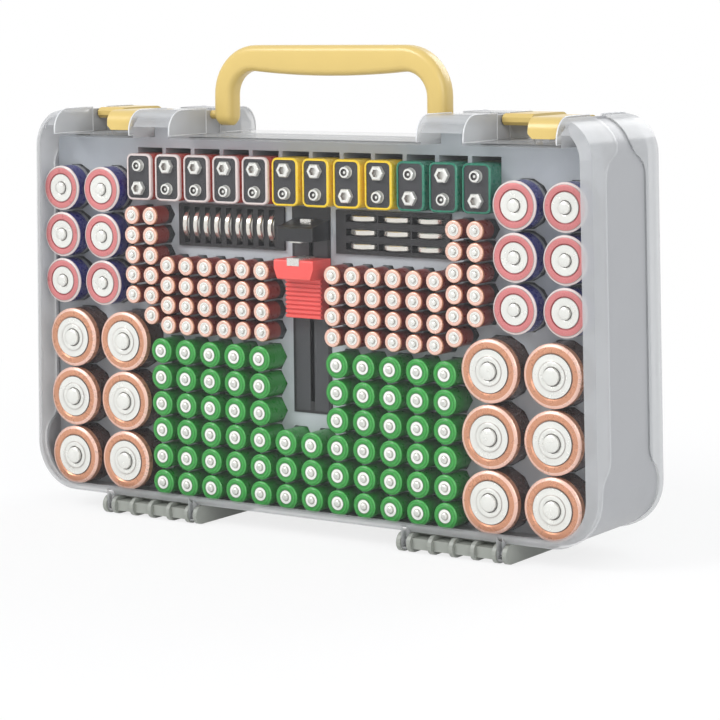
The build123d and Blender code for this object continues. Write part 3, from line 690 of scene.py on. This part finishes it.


# Thin pale tubes round each notch wall's outline: painted highlights where the clear edges catch
# the light.
def lid_edges(name, body, sign):
    curve = bpy.data.curves.new(name, "CURVE")
    curve.dimensions = "3D"
    curve.bevel_depth = EDGE_HIGHLIGHT_RADIUS * MM
    curve.bevel_resolution = 2
    curve.materials.append(MAT["lid_edge_highlight"])
    for x in NOTCH_WALLS:
        points = notch_wall_outline(x)
        spline = curve.splines.new("POLY")
        spline.points.add(len(points) - 1)
        spline.use_cyclic_u = True
        for target, (px, py, pz) in zip(spline.points, points):
            target.co = (sign * px * MM, sign * py * MM, pz * MM, 1)
    piece = bpy.data.objects.new(name, curve)
    bpy.context.scene.collection.objects.link(piece)
    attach(piece, body)


lid_edges("front_lid_edges", "front_lid", 1)
lid_edges("back_lid_edges", "back_lid", -1)


# ---------------------------------------------------------------- tester trim

def box_mesh(x, y, z, look):
    """A box from three (low, high) pairs."""
    mesh = Mesh()
    points = [(a, b, c) for a in x for b in y for c in z]
    faces = [[0, 1, 3, 2], [4, 6, 7, 5], [0, 4, 5, 1], [2, 3, 7, 6], [0, 2, 6, 4], [1, 5, 7, 3]]
    mesh.add(points, faces, [look] * 6)
    return mesh


TRACK_PANEL_Y = (-20.78, -20.5)
TRACK_PANEL_Z = (68.0, 163.0)
SLIDER_TAB = ((-4.0, 4.0), (-38.3, -37.9), (149.8, 153.9))
JAW_TAB = ((-3.5, 3.5), (-26.0, -23.5), (172.4, 174.4))

track = Mesh()
for x in ((-10.8, -1.5), (1.5, 10.8)):
    track.place(box_mesh(x, TRACK_PANEL_Y, TRACK_PANEL_Z, "track"), Matrix.Identity(4))
track.build("tester_track_panels")
box_mesh(*SLIDER_TAB, "contact").build("slider_contact_tab", "tester_slider")
box_mesh(*JAW_TAB, "contact").build("jaw_contact_tab")


# ---------------------------------------------------------------- stage, light, camera

FLOOR_SIZE = 12.0
FLOOR_Z = -0.0002
FLOOR_NEAR = 0.2
FLOOR_FAR = 0.75
FLOOR_NEAR_WHITE = 0.80
WORLD_STRENGTH = 0.55
LAMP_TARGET = (0, 0, 0.12)


def seen_directly(nodes, links):
    """A factor that is 1 for camera, mirror and glass rays, and 0 for the others."""
    path = nodes.new("ShaderNodeLightPath")
    factor = None
    for ray in ("Is Camera Ray", "Is Glossy Ray", "Is Transmission Ray"):
        if factor is None:
            factor = path.outputs[ray]
            continue
        either = nodes.new("ShaderNodeMath")
        either.operation = "MAXIMUM"
        links.new(factor, either.inputs[0])
        links.new(path.outputs[ray], either.inputs[1])
        factor = either.outputs["Value"]
    return factor


def share_by_distance(nodes, links):
    """How much of the floor is plain white: most of it near the object, all of it far off."""
    place = nodes.new("ShaderNodeNewGeometry")
    distance = nodes.new("ShaderNodeVectorMath")
    distance.operation = "LENGTH"
    links.new(place.outputs["Position"], distance.inputs[0])
    share = nodes.new("ShaderNodeMapRange")
    share.interpolation_type = "SMOOTHSTEP"
    share.inputs["From Min"].default_value = FLOOR_NEAR
    share.inputs["From Max"].default_value = FLOOR_FAR
    share.inputs["To Min"].default_value = FLOOR_NEAR_WHITE
    share.inputs["To Max"].default_value = 1.0
    links.new(distance.outputs["Value"], share.inputs["Value"])
    return share.outputs["Result"]


def floor_material():
    """Pale paper, mostly white to the camera, that still takes the object's shadow."""
    mat = bpy.data.materials.new("floor_paper")
    mat.use_nodes = True
    nodes, links = mat.node_tree.nodes, mat.node_tree.links
    nodes.clear()
    output = nodes.new("ShaderNodeOutputMaterial")
    paper = nodes.new("ShaderNodeBsdfDiffuse")
    paper.inputs["Color"].default_value = linear((244, 244, 244))
    glow = nodes.new("ShaderNodeEmission")
    glow.inputs["Color"].default_value = (1, 1, 1, 1)
    glow.inputs["Strength"].default_value = 1.0
    mix = nodes.new("ShaderNodeMixShader")
    both = nodes.new("ShaderNodeMath")
    both.operation = "MULTIPLY"
    links.new(seen_directly(nodes, links), both.inputs[0])
    links.new(share_by_distance(nodes, links), both.inputs[1])
    links.new(both.outputs["Value"], mix.inputs["Fac"])
    links.new(paper.outputs["BSDF"], mix.inputs[1])
    links.new(glow.outputs["Emission"], mix.inputs[2])
    links.new(mix.outputs["Shader"], output.inputs["Surface"])
    return mat


def stage_and_light():
    bpy.ops.mesh.primitive_plane_add(size=FLOOR_SIZE, location=(0, 0, FLOOR_Z))
    floor = bpy.context.object
    floor.name = "floor"
    floor.data.materials.append(floor_material())
    world = bpy.data.worlds.new("studio")
    bpy.context.scene.world = world
    world.use_nodes = True
    nodes, links = world.node_tree.nodes, world.node_tree.links
    nodes.clear()
    output = nodes.new("ShaderNodeOutputWorld")
    soft = nodes.new("ShaderNodeBackground")
    soft.inputs["Color"].default_value = (0.92, 0.95, 1.0, 1)
    soft.inputs["Strength"].default_value = WORLD_STRENGTH
    seen = nodes.new("ShaderNodeBackground")
    seen.inputs["Color"].default_value = (1, 1, 1, 1)
    seen.inputs["Strength"].default_value = 1.0
    mix = nodes.new("ShaderNodeMixShader")
    links.new(seen_directly(nodes, links), mix.inputs["Fac"])
    links.new(soft.outputs["Background"], mix.inputs[1])
    links.new(seen.outputs["Background"], mix.inputs[2])
    links.new(mix.outputs["Shader"], output.inputs["Surface"])


def area_light(name, place, target, size, power):
    data = bpy.data.lights.new(name, "AREA")
    data.shape = "DISK"
    data.size = size
    data.energy = power
    lamp = bpy.data.objects.new(name, data)
    lamp.location = place
    aim = Vector(target) - Vector(place)
    lamp.rotation_euler = aim.to_track_quat("-Z", "Y").to_euler()
    bpy.context.scene.collection.objects.link(lamp)


stage_and_light()
area_light("key", (-0.9, -1.5, 1.5), LAMP_TARGET, 1.1, 26)
area_light("fill", (1.6, -1.2, 0.9), LAMP_TARGET, 1.4, 14)
area_light("back", (0.4, 1.6, 1.3), LAMP_TARGET, 1.4, 16)

CAMERA_PLACE = (0.78085, -1.13521, 0.28486)
CAMERA_YAW = 0.5914
CAMERA_PITCH = -0.0927
CAMERA_ROLL = -0.0102
FOCAL_PIXELS = 2489.8
PRINCIPAL = (360.1, 247.1)
PICTURE = 720
SENSOR_WIDTH = 36.0


def camera_matrix():
    right = Vector((math.cos(CAMERA_YAW), math.sin(CAMERA_YAW), 0))
    ahead = Vector((-math.sin(CAMERA_YAW), math.cos(CAMERA_YAW), 0))
    up = Vector((0, 0, 1))
    c, s = math.cos(CAMERA_PITCH), math.sin(CAMERA_PITCH)
    ahead, up = ahead * c + up * s, up * c - ahead * s
    c, s = math.cos(CAMERA_ROLL), math.sin(CAMERA_ROLL)
    right, up = right * c + up * s, up * c - right * s
    turn = Matrix((right, up, -ahead)).transposed().to_4x4()
    return Matrix.Translation(CAMERA_PLACE) @ turn


camera_data = bpy.data.cameras.new("camera")
camera_data.sensor_width = SENSOR_WIDTH
camera_data.lens = FOCAL_PIXELS * SENSOR_WIDTH / PICTURE
camera_data.shift_x = (PICTURE / 2 - PRINCIPAL[0]) / PICTURE
camera_data.shift_y = (PRINCIPAL[1] - PICTURE / 2) / PICTURE
camera_data.clip_end = 50.0
camera = bpy.data.objects.new("camera", camera_data)
camera.matrix_world = camera_matrix()
bpy.context.scene.collection.objects.link(camera)
bpy.context.scene.camera = camera
bpy.context.scene.view_settings.view_transform = "Standard"
